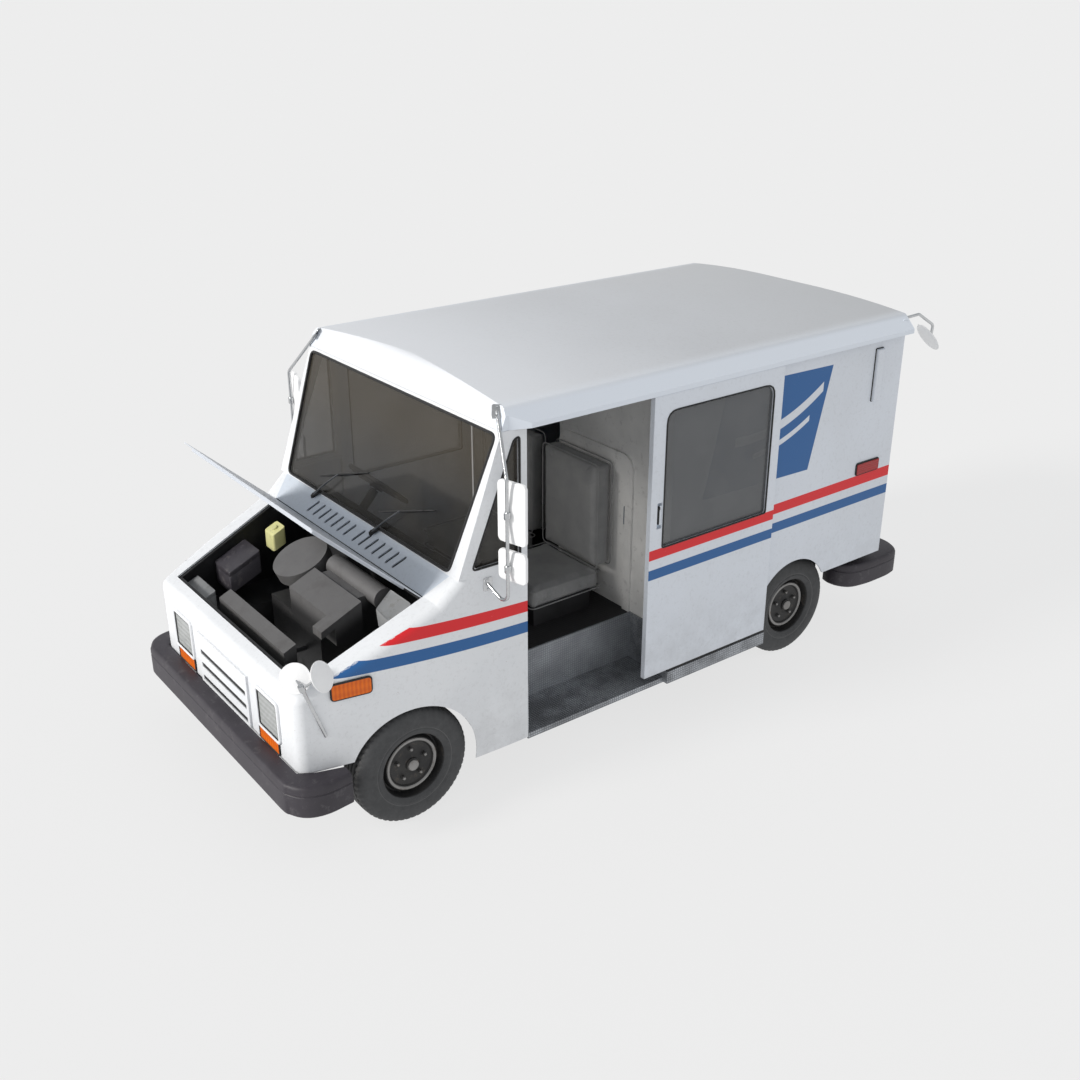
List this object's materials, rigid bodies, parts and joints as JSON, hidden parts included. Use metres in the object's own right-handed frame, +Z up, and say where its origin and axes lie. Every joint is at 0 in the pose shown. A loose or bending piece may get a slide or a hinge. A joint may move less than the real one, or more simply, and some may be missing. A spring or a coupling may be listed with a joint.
{
  "type": "mail delivery truck",
  "caption": "Right-hand-drive mail delivery truck with an open hood, sliding cab doors, roll-up tail door, swivelling mirrors, steerable wheels and a step-in cab.",
  "frame": {"origin": "centre of the bounding box at ground level", "axes": "+Z up, the truck faces -Y, its left side is +X"},
  "size_m": [2.3524, 4.5518, 2.1589],
  "materials": {
    "body_white": "white paint",
    "cowl_white": "white paint",
    "glass_smoke": "clear",
    "bumper": "weathered moulded plastic",
    "tyre": "worn",
    "rim": "dark paint",
    "tube_steel": "polished",
    "mirror_shell": "gloss white",
    "black_steel": "satin black",
    "bay_black": "matt black",
    "engine_grey": "cast",
    "floor_black": "matt coating",
    "tread_plate": "rough tread plate",
    "panel_grey": "moulded",
    "seat_grey": "woven vinyl",
    "dash_black": "grained",
    "lamp_clear": "fluted",
    "lamp_amber": "ribbed lens",
    "lamp_red": "ribbed lens",
    "rubber_black": "matt"
  },
  "bodies": {
    "truck_body": {"air_cleaner": "engine_grey", "amber_lamps": "lamp_amber", "battery_and_tanks": "bay_black", "bulkhead": "panel_grey", "cab_frame": "body_white", "cab_glass": "glass_smoke", "chassis_frame": "black_steel", "cowl_panel": "cowl_white", "dashboard": "dash_black", "door_rails": "tube_steel", "engine": "engine_grey", "engine_bay_liner": "bay_black", "exhaust": "tube_steel", "floor_pan": "floor_black", "front_bumper": "bumper", "fuel_tank": "bay_black", "grille": "body_white", "headlamps": "lamp_clear", "left_cargo_side": "body_white", "mirror_arms": "tube_steel", "mudflaps": "rubber_black", "nose_shell": "body_white", "radiator": "engine_grey", "rear_axle": "black_steel", "rear_bumper": "bumper", "rear_frame": "body_white", "red_lamps": "lamp_red", "right_cargo_side": "body_white", "roof": "body_white", "side_seat_base": "bay_black", "side_seat_cushions": "seat_grey", "step_plates": "tread_plate"},
    "hood": {"hood": "body_white"},
    "left_door": {"left_door": "body_white", "left_door_glass": "glass_smoke"},
    "right_door": {"right_door": "body_white", "right_door_glass": "glass_smoke"},
    "rear_curtain": {"rear_curtain": "body_white"},
    "left_mirrors": {"left_mirror_heads": "mirror_shell"},
    "right_mirrors": {"right_mirror_heads": "mirror_shell"},
    "cross_view_mirrors": {"cross_view_discs": "mirror_shell"},
    "tail_mirror": {"rear_view_disc": "mirror_shell"},
    "left_wiper": {"left_wiper": "rubber_black"},
    "right_wiper": {"right_wiper": "rubber_black"},
    "left_knuckle": {"left_knuckle": "black_steel"},
    "right_knuckle": {"right_knuckle": "black_steel"},
    "left_front_wheel": {"left_front_tyre": "tyre", "left_front_rim": "rim"},
    "right_front_wheel": {"right_front_tyre": "tyre", "right_front_rim": "rim"},
    "left_rear_wheel": {"left_rear_tyre": "tyre", "left_rear_rim": "rim"},
    "right_rear_wheel": {"right_rear_tyre": "tyre", "right_rear_rim": "rim"},
    "steering_wheel": {"steering_wheel": "dash_black"},
    "fan": {"fan": "bay_black"},
    "brake_pedal": {"brake_pedal": "rubber_black"},
    "accelerator_pedal": {"accelerator_pedal": "rubber_black"},
    "driver_seat": {"driver_seat_base": "bay_black", "driver_seat_cushions": "seat_grey"}
  },
  "joints": [
    {"name": "hood_hinge", "type": "hinge", "parent": "truck_body", "child": "hood", "pos_m": [0, -1.44263, 1.18415], "axis": [1, 0, 0], "range_deg": [0, 66]},
    {"name": "left_door_slide", "type": "slide", "parent": "truck_body", "child": "left_door", "axis": [0, 1, 0], "range_m": [-0.786, 0]},
    {"name": "right_door_slide", "type": "slide", "parent": "truck_body", "child": "right_door", "axis": [0, 1, 0], "range_m": [0, 0.786]},
    {"name": "rear_curtain_lift", "type": "hinge", "parent": "truck_body", "child": "rear_curtain", "pos_m": [0, 1.88461, 1.892], "axis": [-1, 0, 0], "range_deg": [0, 88]},
    {"name": "left_mirror_pivot", "type": "hinge", "parent": "truck_body", "child": "left_mirrors", "pos_m": [1.1, -1.14489, 1.55], "axis": [0, 0, 1], "range_deg": [-30, 30]},
    {"name": "right_mirror_pivot", "type": "hinge", "parent": "truck_body", "child": "right_mirrors", "pos_m": [-1.1, -1.14489, 1.55], "axis": [0, 0, 1], "range_deg": [-30, 30]},
    {"name": "cross_view_pivot", "type": "hinge", "parent": "truck_body", "child": "cross_view_mirrors", "pos_m": [0.862, -2.14989, 0.978], "axis": [0.0351, -0.3274, 0.9442], "range_deg": [-20, 20]},
    {"name": "tail_mirror_pivot", "type": "hinge", "parent": "truck_body", "child": "tail_mirror", "pos_m": [0.90879, 2.22106, 1.92386], "axis": [0, 0, 1], "range_deg": [-18, 18]},
    {"name": "right_wiper_sweep", "type": "hinge", "parent": "truck_body", "child": "right_wiper", "pos_m": [-0.494, -1.32969, 1.27519], "axis": [0, -0.9403, 0.3404], "range_deg": [-18, 60]},
    {"name": "left_wiper_sweep", "type": "hinge", "parent": "truck_body", "child": "left_wiper", "pos_m": [0.155, -1.32969, 1.27519], "axis": [0, -0.9403, 0.3404], "range_deg": [-18, 60]},
    {"name": "left_steer", "type": "hinge", "parent": "truck_body", "child": "left_knuckle", "pos_m": [0.74, -1.58989, 0.324], "axis": [0, 0, 1], "range_deg": [-32, 32]},
    {"name": "right_steer", "type": "hinge", "parent": "truck_body", "child": "right_knuckle", "pos_m": [-0.74, -1.58989, 0.324], "axis": [0, 0, 1], "range_deg": [-32, 32]},
    {"name": "left_front_spin", "type": "hinge", "parent": "left_knuckle", "child": "left_front_wheel", "pos_m": [0.907, -1.58989, 0.324], "axis": [1, 0, 0], "continuous": true},
    {"name": "right_front_spin", "type": "hinge", "parent": "right_knuckle", "child": "right_front_wheel", "pos_m": [-0.907, -1.58989, 0.324], "axis": [1, 0, 0], "continuous": true},
    {"name": "left_rear_spin", "type": "hinge", "parent": "truck_body", "child": "left_rear_wheel", "pos_m": [0.839, 1.22211, 0.324], "axis": [1, 0, 0], "continuous": true},
    {"name": "right_rear_spin", "type": "hinge", "parent": "truck_body", "child": "right_rear_wheel", "pos_m": [-0.839, 1.22211, 0.324], "axis": [1, 0, 0], "continuous": true},
    {"name": "steering_wheel_turn", "type": "hinge", "parent": "truck_body", "child": "steering_wheel", "pos_m": [-0.45, -0.94989, 1.27], "axis": [0, 0.6691, 0.7431], "range_deg": [-512, 512]},
    {"name": "fan_spin", "type": "hinge", "parent": "truck_body", "child": "fan", "pos_m": [0.08, -1.87489, 0.69], "axis": [0, 1, 0], "continuous": true},
    {"name": "brake_pedal_press", "type": "hinge", "parent": "truck_body", "child": "brake_pedal", "pos_m": [-0.43, -1.18989, 0.87], "axis": [-1, 0, 0], "range_deg": [0, 22], "stiffness_Nm_per_rad": 30, "springref_deg": -8.59},
    {"name": "accelerator_press", "type": "hinge", "parent": "truck_body", "child": "accelerator_pedal", "pos_m": [-0.32, -1.18989, 0.87], "axis": [-1, 0, 0], "range_deg": [0, 18], "stiffness_Nm_per_rad": 16, "springref_deg": -11.46},
    {"name": "driver_seat_slide", "type": "slide", "parent": "truck_body", "child": "driver_seat", "axis": [0, 1, 0], "range_m": [-0.15, 0.02]}
  ],
  "couplings": [
    {"joint": "right_steer", "follows": "left_steer", "ratio": 1},
    {"joint": "steering_wheel_turn", "follows": "left_steer", "ratio": 16},
    {"joint": "left_wiper_sweep", "follows": "right_wiper_sweep", "ratio": 1}
  ]
}
